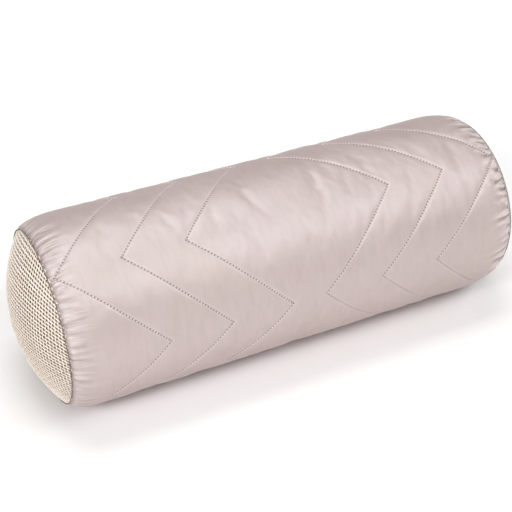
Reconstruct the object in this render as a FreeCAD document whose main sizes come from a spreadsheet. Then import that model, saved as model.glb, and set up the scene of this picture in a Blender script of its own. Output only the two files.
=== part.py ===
"""Quilted bolster pillow: a zipped cover with three quilted layers and woven round ends, over an insert.

The pillow lies on its side. +X runs along its length, -Y is the show side, the zip is at +Y, and +Z is up.
The origin is the middle of the flat that the pillow rests on. Sizes are millimetres and degrees.
"""

import FreeCAD, Part

import math
import os

import Sketcher

App = FreeCAD
V = App.Vector

doc = App.newDocument("bolster_pillow")

# ---------------------------------------------------------------- driving dimensions

SIZES = {
    # pillow
    "body_half_length": 220.0,  # middle to the seam of a round end
    "body_radius": 89.0,
    "axis_height": 84.0,  # a little under the radius, because the pillow's weight flattens its underside
    "shoulder_run": 30.0,  # length over which the tube draws in to the end seam
    "shoulder_radius": 50.0,
    "dome_height": 26.0,  # how far a stuffed end stands out past its seam
    # cloth layers, from the outside in, as depths below the outer surface
    "face_cloth": 0.5,
    "wadding_out": 0.6,
    "wadding_in": 4.4,
    "backing_out": 4.5,
    "backing_in": 4.9,
    "end_cloth": 1.3,
    "end_lining_out": 1.4,
    "end_lining_in": 1.8,
    # insert
    "insert_out": 5.6,
    "insert_in": 6.0,
    "filling_out": 6.1,
    "insert_half_length": 214.0,
    "insert_dome": 25.0,
    "insert_back_flat": 80.3,  # the zip presses the insert flat here, measured from the pillow's axis
    # zip, with heights measured from the pillow's axis out to the zip
    "slot_half_length": 172.0,
    "slot_half_width": 7.0,
    "tape_base": 82.4,
    "tape_thick": 0.6,
    "tape_inner_edge": 1.5,
    "tape_outer_edge": 12.5,
    "tape_half_length": 188.0,
    "teeth_pitch": 2.0,
    "teeth_count": 164.0,
    "teeth_height": 2.0,
    "teeth_tip": 0.5,
    "teeth_back": 1.7,
    "teeth_edge": 3.2,
    "tooth_width": 1.3,
    "stop_length": 3.0,
    "closed_stop_gap": 1.0,  # from the slider, when the zip is shut
    "open_stop_gap": 0.2,  # from the first tooth
    "slider_rest": 156.0,
    "slider_length": 11.0,
    "slider_width": 9.2,
    "slider_base": 80.9,
    "slider_floor": 81.9,
    "slider_roof": 85.5,
    "slider_top": 86.7,
    "post_width": 0.7,
    "post_length": 3.0,
    "flange_bottom": 83.5,
    "flange_inset": 0.9,
    "arch_width": 2.0,
    "arch_half_length": 4.4,
    "arch_window": 3.5,
    "arch_foot": 0.3,
    "arch_wall": 0.9,
    "arch_rounding": 0.5,
    "hinge_height": 89.9,
    "pin_radius": 0.75,
    "pin_gap": 0.2,  # between the pin and the arch above it
    "tab_width": 6.0,
    "tab_thick": 1.2,
    "tab_length": 27.0,
    "tab_rounding": 1.6,
    "tab_window_length": 5.4,
    "tab_window_half_width": 1.5,
    "tab_window_overlap": 0.2,
    "tab_rail_start": 0.3,
    "tab_rail_length": 2.0,
    "tab_hole_radius": 1.5,
    "tab_hole_inset": 4.0,
    # thread
    "quilt_thread": 0.5,
    "seam_thread": 0.7,
    "topstitch_edge": 9.5,
    "topstitch_half_length": 176.0,
    "thread_clearance": 0.125,  # keeps the thread's square corners off the flat underneath
    # chevron quilting: angles run from the front of the pillow (0) over the top (90) to the zip (180)
    "chevron_first_angle": 4.1,  # a point of the zigzag nearest the pillow's middle
    "chevron_half_period": 54.5,
    "chevron_end_angle": 171.0,  # the rows stop here, beside the zip, on each side
    "row_inner_near": 16.6,
    "row_inner_far": 98.9,
    "row_middle_near": 75.2,
    "row_middle_far": 157.2,
    "row_outer_near": 133.3,
    "row_outer_far": 215.5,
}

sheet = doc.addObject("Spreadsheet::Sheet", "sizes")
for row, (alias, value) in enumerate(SIZES.items(), start=1):
    sheet.set(f"A{row}", alias)
    sheet.set(f"B{row}", str(value))
    sheet.setAlias(f"B{row}", alias)
doc.recompute()

CHEVRON_ROWS = ("inner", "middle", "outer")
CHEVRON_STEPS = 8  # straight pieces in one leg
SIDES = {"left": -1, "right": 1}
BEYOND = "300"  # a reach from the pillow's middle that clears all of it, for cutting tools
TINY = 1e-6  # lengths closer than this are the same


def size(name):
    """A driving dimension, read back from the sheet."""
    return float(sheet.get(name))


# ---------------------------------------------------------------- helpers


def lift(obj, side=0):
    """Puts an object drawn about the pillow's axis at its height, turned end for end where side is -1."""
    if side == -1:
        obj.Placement = App.Placement(V(0, 0, size("axis_height")), App.Rotation(V(0, 0, 1), 180))
    obj.setExpression("Placement.Base.z", "sizes.axis_height")
    return obj


def plane_of(body, role):
    return next(o for o in body.Origin.OriginFeatures if o.Role == role)


def new_body(label):
    body = doc.addObject("PartDesign::Body", label)
    body.Label = label
    return body


def new_sketch(body, name, role):
    """An empty sketch on one of the body's origin planes."""
    sketch = body.newObject("Sketcher::SketchObject", name)
    sketch.AttachmentSupport = [(plane_of(body, role), "")]
    sketch.MapMode = "FlatFace"
    return sketch


def raise_sketch(sketch, height):
    """Moves a sketch on the XZ plane out towards the zip by an expression."""
    sketch.setExpression("AttachmentOffset.Base.z", f"-({height})")


def draw_rectangle(sketch, low_x, low_y, high_x, high_y):
    """A rectangle whose four edges are expressions, from the sketch's origin."""
    edges = [sketch.evalExpression(e) for e in (low_x, low_y, high_x, high_y)]
    x0, y0, x1, y1 = [float(getattr(e, "Value", e)) for e in edges]
    corners = [V(x0, y0, 0), V(x1, y0, 0), V(x1, y1, 0), V(x0, y1, 0)]
    first = sketch.GeometryCount
    for i, corner in enumerate(corners):
        sketch.addGeometry(Part.LineSegment(corner, corners[(i + 1) % 4]), False)
    for i in range(4):
        sketch.addConstraint(Sketcher.Constraint("Coincident", first + i, 2, first + (i + 1) % 4, 1))
    for i, kind in enumerate(("Horizontal", "Vertical", "Horizontal", "Vertical")):
        sketch.addConstraint(Sketcher.Constraint(kind, first + i))
    for vertex, kind, text, value in (
        (0, "DistanceX", low_x, x0),
        (0, "DistanceY", low_y, y0),
        (2, "DistanceX", high_x, x1),
        (2, "DistanceY", high_y, y1),
    ):
        number = sketch.addConstraint(Sketcher.Constraint(kind, -1, 1, first + vertex, 1, value))
        sketch.setExpression(f"Constraints[{number}]", text)


def draw_circle(sketch, x, y, radius):
    """A circle whose centre and radius are expressions."""
    cx, cy, r = [float(getattr(e, "Value", e)) for e in map(sketch.evalExpression, (x, y, radius))]
    circle = sketch.addGeometry(Part.Circle(V(cx, cy, 0), V(0, 0, 1), r), False)
    for kind, text, value in (("DistanceX", x, cx), ("DistanceY", y, cy)):
        number = sketch.addConstraint(Sketcher.Constraint(kind, -1, 1, circle, 3, value))
        sketch.setExpression(f"Constraints[{number}]", text)
    number = sketch.addConstraint(Sketcher.Constraint("Radius", circle, r))
    sketch.setExpression(f"Constraints[{number}]", radius)


def pad(body, sketch, length, midplane=False, reverse=False):
    feature = body.newObject("PartDesign::Pad", sketch.Name + "_pad")
    feature.Profile = sketch
    feature.Midplane = midplane
    feature.Reversed = reverse
    feature.setExpression("Length", length)
    doc.recompute()
    return feature


def pocket_through(body, sketch):
    """Cuts a sketch right through the body, both ways, and checks that it did cut."""
    before = body.Shape.Volume
    feature = body.newObject("PartDesign::Pocket", sketch.Name + "_cut")
    feature.Profile = sketch
    feature.Type = 1
    feature.Midplane = True
    doc.recompute()
    if body.Shape.Volume >= before:
        raise RuntimeError(f"{feature.Label} cuts nothing")
    return feature


def box(name, low, high):
    """A Part::Box between two corners, each given as three expressions."""
    made = doc.addObject("Part::Box", name)
    for axis, side, a, b in zip("xyz", ("Length", "Width", "Height"), low, high):
        made.setExpression(f"Placement.Base.{axis}", a)
        made.setExpression(side, f"({b}) - ({a})")
    return made


def subtract(name, base, *tools):
    """base with each tool cut away in turn."""
    for i, tool in enumerate(tools):
        cut = doc.addObject("Part::Cut", name if i == len(tools) - 1 else f"{name}_{i}")
        cut.Base, cut.Tool = base, tool
        base = cut
    base.Label = name
    return base


# ---------------------------------------------------------------- the pillow's round form


def barrel_outline(name, depth, half_length):
    """A sketch of the pillow's outline from its axis out: a straight side and an arc down to each end.

    Sketch points 1, 2 and 3 of an edge are its start, end and centre.
    """
    d = size(depth) if depth else 0.0
    depth_text = f"sizes.{depth}" if depth else "0"
    shoulder = size("body_half_length") - size("shoulder_run")
    centre = size("body_radius") - size("shoulder_radius")
    arc_radius = size("shoulder_radius") - d
    side_r = size("body_radius") - d
    x_end = size(half_length)
    end_r = centre + math.sqrt(arc_radius**2 - (x_end - shoulder) ** 2)
    turn = math.asin((x_end - shoulder) / arc_radius)

    sketch = doc.addObject("Sketcher::SketchObject", name + "_outline")
    sketch.Placement = App.Placement(V(0, 0, 0), App.Rotation(V(1, 0, 0), 90))

    def arc(x, start, end):
        return Part.ArcOfCircle(Part.Circle(V(x, centre, 0), V(0, 0, 1), arc_radius), start, end)

    quarter = math.pi / 2
    side = sketch.addGeometry(Part.LineSegment(V(-shoulder, side_r, 0), V(shoulder, side_r, 0)), False)
    right = sketch.addGeometry(arc(shoulder, quarter - turn, quarter), False)
    left = sketch.addGeometry(arc(-shoulder, quarter, quarter + turn), False)
    corners = [V(x_end, end_r, 0), V(x_end, 0, 0), V(-x_end, 0, 0), V(-x_end, end_r, 0)]
    down, axis, up = (
        sketch.addGeometry(Part.LineSegment(a, b), False) for a, b in zip(corners, corners[1:])
    )

    joins = [(side, 2, right, 2), (side, 1, left, 1), (right, 1, down, 1), (left, 2, up, 2)]
    joins += [(down, 2, axis, 1), (axis, 2, up, 1)]
    for first, first_point, second, second_point in joins:
        sketch.addConstraint(Sketcher.Constraint("Coincident", first, first_point, second, second_point))
    shoulder_text = "sizes.body_half_length - sizes.shoulder_run"
    centre_text = "sizes.body_radius - sizes.shoulder_radius"
    side_text = f"sizes.body_radius - {depth_text}"
    for sign, word, bend, side_point, bend_point, axis_point in (
        (1, "", right, 2, 1, 1),
        (-1, "-", left, 1, 2, 2),
    ):
        for kind, edge, point, text, value in (
            ("DistanceX", bend, 3, f"{word}({shoulder_text})", sign * shoulder),
            ("DistanceY", bend, 3, centre_text, centre),
            ("DistanceX", side, side_point, f"{word}({shoulder_text})", sign * shoulder),
            ("DistanceY", side, side_point, side_text, side_r),
            ("DistanceX", bend, bend_point, f"{word}sizes.{half_length}", sign * x_end),
            ("DistanceX", axis, axis_point, f"{word}sizes.{half_length}", sign * x_end),
        ):
            number = sketch.addConstraint(Sketcher.Constraint(kind, -1, 1, edge, point, value))
            sketch.setExpression(f"Constraints[{number}]", text)
        sketch.addConstraint(Sketcher.Constraint("PointOnObject", axis, axis_point, -1))
    return sketch


def barrel(name, depth, half_length):
    """A closed solid of the pillow's tube at some depth below its surface, flattened underneath."""
    turned = doc.addObject("Part::Revolution", name + "_turned")
    turned.Source = barrel_outline(name, depth, half_length)
    turned.Axis = V(1, 0, 0)
    turned.Base = V(0, 0, 0)
    turned.Angle = 360
    turned.Solid = True
    low = "-sizes.axis_height" + (f" + sizes.{depth}" if depth else "")
    under = box(name + "_under", (f"-{BEYOND}", f"-{BEYOND}", f"-{BEYOND}"), (BEYOND, BEYOND, low))
    return subtract(name, turned, under)


def dome_profile(body, seam_x, seam_r, height, outer, inner):
    """A sketch of the +X dome: a layer of cloth between two depths, or solid where inner is None."""
    ball = (seam_r**2 + height**2) / (2 * height)
    centre = seam_x + height - ball
    sketch = new_sketch(body, body.Label + "_outline", "XZ_Plane")
    outer_r = ball - outer
    rim = math.sqrt(outer_r**2 - (seam_x - centre) ** 2)

    def arc(radius, rim_r):
        return Part.ArcOfCircle(
            Part.Circle(V(centre, 0, 0), V(0, 0, 1), radius), 0, math.atan2(rim_r, seam_x - centre)
        )

    sketch.addGeometry(arc(outer_r, rim), False)
    if inner is None:
        sketch.addGeometry(Part.LineSegment(V(seam_x, rim, 0), V(seam_x, 0, 0)), False)
        sketch.addGeometry(Part.LineSegment(V(seam_x, 0, 0), V(centre + outer_r, 0, 0)), False)
    else:
        inner_r = ball - inner
        inner_rim = math.sqrt(inner_r**2 - (seam_x - centre) ** 2)
        sketch.addGeometry(arc(inner_r, inner_rim), False)
        sketch.addGeometry(Part.LineSegment(V(seam_x, rim, 0), V(seam_x, inner_rim, 0)), False)
        sketch.addGeometry(Part.LineSegment(V(centre + inner_r, 0, 0), V(centre + outer_r, 0, 0)), False)
    return sketch


def dome(label, side, seam_x, seam_r, height, outer, inner=None):
    """A round end in one layer of cloth, turned about the pillow's axis."""
    body = new_body(label)
    sketch = dome_profile(body, seam_x, seam_r, height, outer, inner)
    turned = body.newObject("PartDesign::Revolution", label + "_turned")
    turned.Profile = sketch
    turned.ReferenceAxis = (sketch, ["H_Axis"])
    turned.Angle = 360
    doc.recompute()
    return lift(body, side)


def seam_radius():
    """Radius of the seam between the tube and a round end."""
    drop = size("shoulder_radius") - math.sqrt(size("shoulder_radius") ** 2 - size("shoulder_run") ** 2)
    return size("body_radius") - drop


# ---------------------------------------------------------------- cover


def cover_layer(name, outer, inner):
    """One cloth layer of the quilted tube, with the zip's slot cut in it."""
    outside = barrel(name + "_outside", outer, "body_half_length")
    inside = barrel(name + "_inside", inner, "body_half_length")
    slot = box(
        name + "_slot",
        ("-sizes.slot_half_length", "sizes.body_radius / 2", "-sizes.slot_half_width"),
        ("sizes.slot_half_length", BEYOND, "sizes.slot_half_width"),
    )
    return lift(subtract(name, outside, inside, slot))


def cover_ends():
    """The woven round ends and the plain lining behind each."""
    made = []
    for word, side in SIDES.items():
        shape = (side, size("body_half_length"), seam_radius(), size("dome_height"))
        made.append(dome(f"end_panel_{word}", *shape, 0.0, size("end_cloth")))
        made.append(dome(f"end_lining_{word}", *shape, size("end_lining_out"), size("end_lining_in")))
    return made


# ---------------------------------------------------------------- thread


def surface_point(x, angle, sunk):
    """A point just under the pillow's surface at a length and an angle, kept above the resting flat."""
    shoulder = size("body_half_length") - size("shoulder_run")
    past = max(0.0, abs(x) - shoulder)
    bend = math.sqrt(size("shoulder_radius") ** 2 - past**2)
    ring = size("body_radius") - size("shoulder_radius") + bend - sunk
    turn = math.radians(angle)
    height = max(ring * math.sin(turn), sunk + size("thread_clearance") - size("axis_height"))
    return V(x, -ring * math.cos(turn), height)


def ring_at(points, i, width, closed):
    """The four corners of a square thread where it turns at point i."""
    before = points[i - 1] if closed or i > 0 else None
    after = points[(i + 1) % len(points)] if closed or i < len(points) - 1 else None
    here = points[i]
    coming = (here - before).normalize() if before else None
    going = (after - here).normalize() if after else coming
    along = ((coming or going) + going).normalize()
    out = V(0, here.y, here.z).normalize()
    across = along.cross(out).normalize() * (width / 2 / along.dot(going))
    out = out * (width / 2)
    return [here + across + out, here - across + out, here - across - out, here + across - out]


def thread(label, points, width, closed=False):
    """A thin square thread along straight runs between points, as one closed solid."""
    rings = [ring_at(points, i, width, closed) for i in range(len(points))]
    triangles = []
    for a, b in zip(rings, rings[1:] + rings[:1]):
        if b is rings[0] and not closed:
            break
        for j in range(4):
            k = (j + 1) % 4
            triangles += [(a[j], a[k], b[k]), (a[j], b[k], b[j])]
    if not closed:
        for end in (rings[0], rings[-1]):
            triangles += [(end[0], end[1], end[2]), (end[0], end[2], end[3])]
    skin = Part.Shell([Part.Face(Part.makePolygon([a, b, c, a])) for a, b, c in triangles])
    skin.sewShape()
    made = doc.addObject("Part::Feature", label)
    made.Shape = Part.Solid(skin)
    made.Label = label
    return lift(made)


def chevron_points(near, far):
    """Points along one zigzag row round the tube, between its two rings of corners."""
    first_angle, half_period = size("chevron_first_angle"), size("chevron_half_period")
    low = (-size("chevron_end_angle") - first_angle) / half_period
    high = (size("chevron_end_angle") - first_angle) / half_period
    first, last = math.ceil(low), math.floor(high)

    def place(turn):
        """The row's place along the pillow at a number of half periods from its first corner."""
        share = abs(turn % 2 - 1)
        return far + (near - far) * share

    turns = [low] + [first + i / CHEVRON_STEPS for i in range((last - first) * CHEVRON_STEPS + 1)] + [high]
    sunk = size("quilt_thread") / 2
    return [surface_point(place(t), first_angle + t * half_period, sunk) for t in turns]


def quilting():
    """Three mirrored chevron rows of thread on each half of the tube."""
    made = []
    for word, side in SIDES.items():
        for row in CHEVRON_ROWS:
            points = chevron_points(side * size(f"row_{row}_near"), side * size(f"row_{row}_far"))
            made.append(thread(f"quilting_thread_{word}_{row}", points, size("quilt_thread")))
    return made


def end_seams():
    """The sewn seam that joins the tube to each round end."""
    made = []
    for word, side in SIDES.items():
        ring = doc.addObject("Part::Torus", f"end_seam_thread_{word}")
        ring.Radius1 = seam_radius()
        ring.setExpression("Radius2", "sizes.seam_thread / 2")
        ring.Placement = App.Placement(V(side * size("body_half_length"), 0, 0), App.Rotation(V(0, 1, 0), 90))
        ring.Label = f"end_seam_thread_{word}"
        made.append(lift(ring))
    return made


def zip_topstitching():
    """One closed line of stitches round the zip, through the cover and the zip's tapes."""
    half, sunk = size("topstitch_half_length"), size("quilt_thread") / 2
    lean = math.degrees(math.asin(size("topstitch_edge") / size("body_radius")))
    back = 180
    angles = (back - lean, back, back + lean)
    places = [(half, angle) for angle in angles] + [(-half, angle) for angle in reversed(angles)]
    points = [surface_point(x, angle, sunk) for x, angle in places]
    return thread("zip_topstitching", points, size("quilt_thread"), closed=True)


# ---------------------------------------------------------------- zip


def zip_tapes():
    """Two flat woven tapes sewn under the edges of the slot."""
    made = []
    for word, low, high in (
        ("upper", "sizes.tape_inner_edge", "sizes.tape_outer_edge"),
        ("lower", "-sizes.tape_outer_edge", "-sizes.tape_inner_edge"),
    ):
        tape = box(
            f"zip_tape_{word}",
            ("-sizes.tape_half_length", "sizes.tape_base", low),
            ("sizes.tape_half_length", "sizes.tape_base + sizes.tape_thick", high),
        )
        tape.Label = f"zip_tape_{word}"
        tape.setExpression("Placement.Base.z", f"sizes.axis_height + ({low})")
        made.append(tape)
    return made


def chain_start():
    """Where the row of teeth begins, so that it ends at the top stop."""
    return size("slider_rest") + size("slider_length") / 2 - size("teeth_count") * size("teeth_pitch")


def zip_teeth():
    """A rack of teeth along the inner edge of each tape; the two racks are set half a pitch apart."""
    pitch, count = size("teeth_pitch"), int(size("teeth_count"))
    base = size("tape_base") + size("tape_thick")
    made = []
    for word, side, shift in (("upper", 1, 0.0), ("lower", -1, 0.5)):
        start = chain_start() + shift * pitch
        end = start + (count - 1) * pitch
        tip, back, edge = (side * size(n) for n in ("teeth_tip", "teeth_back", "teeth_edge"))
        outline = [V(start, base, edge)]
        for i in range(count - 1):
            low = start + i * pitch
            high = low + size("tooth_width")
            outline += [V(low, base, tip), V(high, base, tip)]
            outline += [V(high, base, back), V(low + pitch, base, back)]
        last = end + size("tooth_width")
        outline += [V(end, base, tip), V(last, base, tip), V(last, base, edge)]
        rack = doc.addObject("Part::Feature", f"zip_teeth_{word}_outline")
        rack.Shape = Part.Face(Part.makePolygon(outline + outline[:1]))
        solid = doc.addObject("Part::Extrusion", f"zip_teeth_{word}")
        solid.Base = rack
        solid.DirMode = "Custom"
        solid.Dir = V(0, 1, 0)
        solid.Solid = True
        solid.setExpression("LengthFwd", "sizes.teeth_height")
        solid.Label = f"zip_teeth_{word}"
        made.append(lift(solid))
    return made


def zip_stops():
    """A crimped stop on each tape where the zip closes, and one across both tapes where it opens."""
    base = "sizes.tape_base + sizes.tape_thick"
    roof = "sizes.tape_base + sizes.tape_thick + sizes.teeth_height"
    closed_end = "sizes.slider_rest + sizes.slider_length / 2 + sizes.closed_stop_gap"
    open_end = f"{chain_start()} - sizes.open_stop_gap"
    body = new_body("zip_bottom_stop")
    sketch = new_sketch(body, "bottom_stop_outline", "XZ_Plane")
    draw_rectangle(
        sketch, f"{open_end} - sizes.stop_length", "-sizes.teeth_edge", open_end, "sizes.teeth_edge"
    )
    raise_sketch(sketch, base)
    pad(body, sketch, "sizes.teeth_height", reverse=True)
    lift(body)
    halves = []
    for word, low, high in (
        ("upper", "sizes.tape_inner_edge", "sizes.teeth_edge"),
        ("lower", "-sizes.teeth_edge", "-sizes.tape_inner_edge"),
    ):
        far_corner = (f"{closed_end} + sizes.stop_length", roof, high)
        halves.append(box(f"top_stop_{word}", (closed_end, base, low), far_corner))
    pair = doc.addObject("Part::Compound", "zip_top_stops")
    pair.Links = halves
    pair.Label = "zip_top_stops"
    return [body, lift(pair)]


def zip_slider():
    """Slider: two plates joined by a post, flanges that hold the teeth, and an arch for the pull tab."""
    body = new_body("zip_slider")
    mid = "sizes.slider_rest"
    half = "sizes.slider_length / 2"
    wide = "sizes.slider_width / 2"

    def block(name, low_x, low_z, high_x, high_z, base, top):
        sketch = new_sketch(body, name, "XZ_Plane")
        draw_rectangle(sketch, f"{mid} + {low_x}", low_z, f"{mid} + {high_x}", high_z)
        raise_sketch(sketch, f"sizes.{base}")
        return pad(body, sketch, f"sizes.{top} - sizes.{base}", reverse=True)

    block("sole", f"-{half}", f"-{wide}", half, wide, "slider_base", "slider_floor")
    post = "sizes.post_width / 2"
    block("post", f"{half} - sizes.post_length", f"-{post}", half, post, "slider_floor", "slider_roof")
    block("roof", f"-{half}", f"-{wide}", half, wide, "slider_roof", "slider_top")
    for word, low, high in (
        ("upper", f"{wide} - sizes.flange_inset", wide),
        ("lower", f"-({wide})", f"-({wide}) + sizes.flange_inset"),
    ):
        block(f"flange_{word}", f"-{half}", low, half, high, "flange_bottom", "slider_roof")
    arch = new_sketch(body, "arch", "XY_Plane")
    crown = "sizes.hinge_height + sizes.pin_radius + sizes.pin_gap"
    draw_rectangle(
        arch, f"{mid} - sizes.arch_half_length", "sizes.slider_top",
        f"{mid} + sizes.arch_half_length", f"{crown} + sizes.arch_wall",
    )
    draw_rectangle(
        arch, f"{mid} - sizes.arch_window", "sizes.slider_top + sizes.arch_foot",
        f"{mid} + sizes.arch_window", crown,
    )
    pad(body, arch, "sizes.arch_width", midplane=True)
    return lift(round_edges(body, is_arch_corner, "arch_rounding"))


def is_arch_corner(edge):
    """True for the two outer corners along the top of the slider's arch."""
    crown = size("hinge_height") + size("pin_radius") + size("pin_gap") + size("arch_wall")
    flat = all(abs(v.Y - crown) < TINY for v in edge.Vertexes)
    return flat and abs(edge.Vertexes[0].X - edge.Vertexes[-1].X) < TINY


def round_edges(body, wanted, radius):
    """Fillets the edges of the body's tip that pass a test."""
    base = body.Tip
    names = [f"Edge{i + 1}" for i, e in enumerate(base.Shape.Edges) if wanted(e)]
    if not names:
        raise RuntimeError(f"{body.Label} has no edge to round")
    fillet = body.newObject("PartDesign::Fillet", body.Label + "_rounding")
    fillet.Base = (base, names)
    fillet.setExpression("Radius", f"sizes.{radius}")
    doc.recompute()
    return body


def zip_pull_tab():
    """Pull tab: a flat tongue with a window for the slider's arch, a round pin and a hole at its tip."""
    body = new_body("zip_pull_tab")
    mid = "sizes.slider_rest"
    outline = new_sketch(body, "tongue", "XZ_Plane")
    wide = "sizes.tab_width / 2"
    draw_rectangle(outline, f"{mid} - sizes.tab_length", f"-{wide}", f"{mid} + sizes.pin_radius", wide)
    draw_rectangle(
        outline, f"{mid} - sizes.tab_window_length", "-sizes.tab_window_half_width",
        f"{mid} + sizes.pin_radius - sizes.tab_window_overlap", "sizes.tab_window_half_width",
    )
    draw_circle(outline, f"{mid} - sizes.tab_length + sizes.tab_hole_inset", "0", "sizes.tab_hole_radius")
    raise_sketch(outline, "sizes.hinge_height")
    pad(body, outline, "sizes.tab_thick", midplane=True)
    # the window's far rail is cut away, so that only the round pin closes it
    rail = new_sketch(body, "rail", "XZ_Plane")
    window = "sizes.tab_window_half_width"
    rail_start, rail_end = f"{mid} - sizes.tab_rail_start", f"{mid} + sizes.tab_rail_length"
    draw_rectangle(rail, rail_start, f"-{window}", rail_end, window)
    raise_sketch(rail, "sizes.hinge_height")
    pocket_through(body, rail)
    pin = new_sketch(body, "pin", "XY_Plane")
    draw_circle(pin, mid, "sizes.hinge_height", "sizes.pin_radius")
    pad(body, pin, "sizes.tab_width", midplane=True)
    tip = size("slider_rest") - size("tab_length")

    def is_tip_corner(edge):
        along_y = abs(edge.Vertexes[0].Y - edge.Vertexes[-1].Y) > size("tab_thick") / 2
        return along_y and all(abs(v.X - tip) < TINY for v in edge.Vertexes)

    return lift(round_edges(body, is_tip_corner, "tab_rounding"))


# ---------------------------------------------------------------- insert


def insert_form(name, depth):
    """The insert's tube as a solid at some depth, pressed flat below and where the zip lies."""
    flat = f"sizes.insert_back_flat - sizes.{depth} + sizes.insert_out"
    back = box(name + "_back", (f"-{BEYOND}", flat, f"-{BEYOND}"), (BEYOND, BEYOND, BEYOND))
    return subtract(name, barrel(name + "_turn", depth, "insert_half_length"), back)


def insert_dome(name, side, outer, inner=None):
    """A round end of the insert in one layer, or solid."""
    x = size("insert_half_length")
    past = x - (size("body_half_length") - size("shoulder_run"))
    depth = size("shoulder_radius") - size("insert_out")
    ring = size("body_radius") - size("shoulder_radius") + math.sqrt(depth**2 - past**2)
    rim = min(ring, size("axis_height") - size("insert_out"), size("insert_back_flat"))
    return dome(name, side, x, rim, size("insert_dome"), outer, inner)


def insert():
    """The insert that the zip lets out: a ticking tube, its two round ends, and the stuffing inside."""
    thick = size("insert_in") - size("insert_out")
    loft = size("filling_out") - size("insert_out")
    outside, inside = insert_form("tube_outside", "insert_out"), insert_form("tube_inside", "insert_in")
    tube = lift(subtract("insert_tube", outside, inside))
    ends = [insert_dome(f"insert_end_{word}", side, 0.0, thick) for word, side in SIDES.items()]
    stuffing = doc.addObject("Part::MultiFuse", "insert_filling")
    core = lift(insert_form("filling_core", "filling_out"))
    stuffing.Shapes = [core] + [insert_dome(f"filling_{word}", side, loft) for word, side in SIDES.items()]
    return [tube] + ends + [stuffing]


# ---------------------------------------------------------------- build, check, write

parts = [
    cover_layer("cover_face_panel", None, "face_cloth"),
    cover_layer("cover_wadding", "wadding_out", "wadding_in"),
    cover_layer("cover_backing", "backing_out", "backing_in"),
]
parts += cover_ends()
parts += quilting()
parts += end_seams()
parts += zip_tapes() + zip_teeth() + zip_stops()
parts += [zip_slider(), zip_pull_tab(), zip_topstitching()]
parts += insert()

doc.recompute()

for item in doc.Objects:
    if {"Invalid", "Error"} & set(item.State):
        raise RuntimeError(f"{item.Label} failed: {item.State}")
for part in parts:
    if part.Shape.isNull() or not part.Shape.isValid() or not part.Shape.Solids:
        raise RuntimeError(f"{part.Label} isn't a valid solid")

os.makedirs("parts", exist_ok=True)
for part in parts:
    part.Shape.exportStep(f"parts/{part.Label}.step")
    extent = part.Shape.BoundBox
    print(f"{part.Label:32} {len(part.Shape.Solids)} solids {part.Shape.Volume:12.1f} mm3"
          f"  z {extent.ZMin:7.2f} to {extent.ZMax:7.2f}")
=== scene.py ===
"""The looks of a chevron-quilted bolster pillow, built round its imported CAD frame.

The pillow lies along X with its show side at -Y and its zip at +Y. Most pieces are worked out on the satin's
flat sheet: x runs along the pillow, and an angle runs round it, from the front (0) over the top (90 degrees).
"""

import math

import bpy
import numpy as np
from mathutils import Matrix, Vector


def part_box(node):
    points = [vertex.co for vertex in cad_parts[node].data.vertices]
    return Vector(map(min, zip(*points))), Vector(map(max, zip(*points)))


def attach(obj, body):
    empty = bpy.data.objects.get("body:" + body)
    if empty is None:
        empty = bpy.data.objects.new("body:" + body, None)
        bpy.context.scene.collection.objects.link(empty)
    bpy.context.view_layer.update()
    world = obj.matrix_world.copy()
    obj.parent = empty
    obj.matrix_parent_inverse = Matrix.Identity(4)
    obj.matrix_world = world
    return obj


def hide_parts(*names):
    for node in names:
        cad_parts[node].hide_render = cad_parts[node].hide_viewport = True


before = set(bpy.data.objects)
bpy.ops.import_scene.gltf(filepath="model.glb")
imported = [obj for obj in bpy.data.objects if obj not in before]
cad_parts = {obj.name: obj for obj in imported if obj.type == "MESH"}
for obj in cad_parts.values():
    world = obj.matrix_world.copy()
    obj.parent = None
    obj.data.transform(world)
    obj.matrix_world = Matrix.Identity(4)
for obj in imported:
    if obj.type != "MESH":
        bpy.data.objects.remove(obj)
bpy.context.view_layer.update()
SEED = 7

# ---- sizes, from the frame

MM = 0.001
panel_low, panel_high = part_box("cover_face_panel")
end_low, end_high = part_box("end_panel_right")
HALF = panel_high.x
RADIUS = (panel_high.y - panel_low.y) / 2
AXIS = panel_high.z - RADIUS
SEAM_RADIUS = (end_high.y - end_low.y) / 2
DOME = end_high.x - HALF
SHOULDER_RADIUS = 50 * MM
SHOULDER = HALF - 30 * MM
BALL = (SEAM_RADIUS**2 + DOME**2) / (2 * DOME)  # the radius of the ends' domes

# the sheet's grid: every corner of the chevrons is a grid point, and every leg is a diagonal of its cells
CELL = 1.66 * MM
LEG = 50  # cells in a leg, each way
FIRST_ROW, ROW_STEP, ROWS = 10, 35, ("inner", "middle", "outer")
SIDES = {"left": -1, "right": 1}
AROUND = 330  # cells round the tube
FULL_TURN = 2 * math.pi
TURN = FULL_TURN / AROUND
START_ANGLE = math.radians(4.1)  # an inner corner of the chevrons
ROW_END = math.radians(171)
LAST = int(HALF / CELL)  # whole cells in each half

SLOT_HALF = 172 * MM
SLOT_WIDTH = 7 * MM
SINK = 1.8 * MM  # how far the quilting pulls the cloth in
GATHERED = 26 * MM  # how far in from the end seams the gathers ease out
TOPSTITCH_X, TOPSTITCH_UP = 176 * MM, 9.5 * MM
COTTON = 0.35 * MM  # the thickness of the ticking and of the wadding's backing
TINY = 0.1 * MM  # slack for picking out the points of an edge

along_cells = np.arange(-LAST, LAST + 1)
XS = np.concatenate([[-HALF], along_cells * CELL, [HALF]])
ANGLES = START_ANGLE + np.arange(AROUND) * TURN
ANGLES = (ANGLES + math.pi) % FULL_TURN - math.pi
GRID_X, GRID_A = np.meshgrid(XS, ANGLES, indexing="ij")
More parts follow.
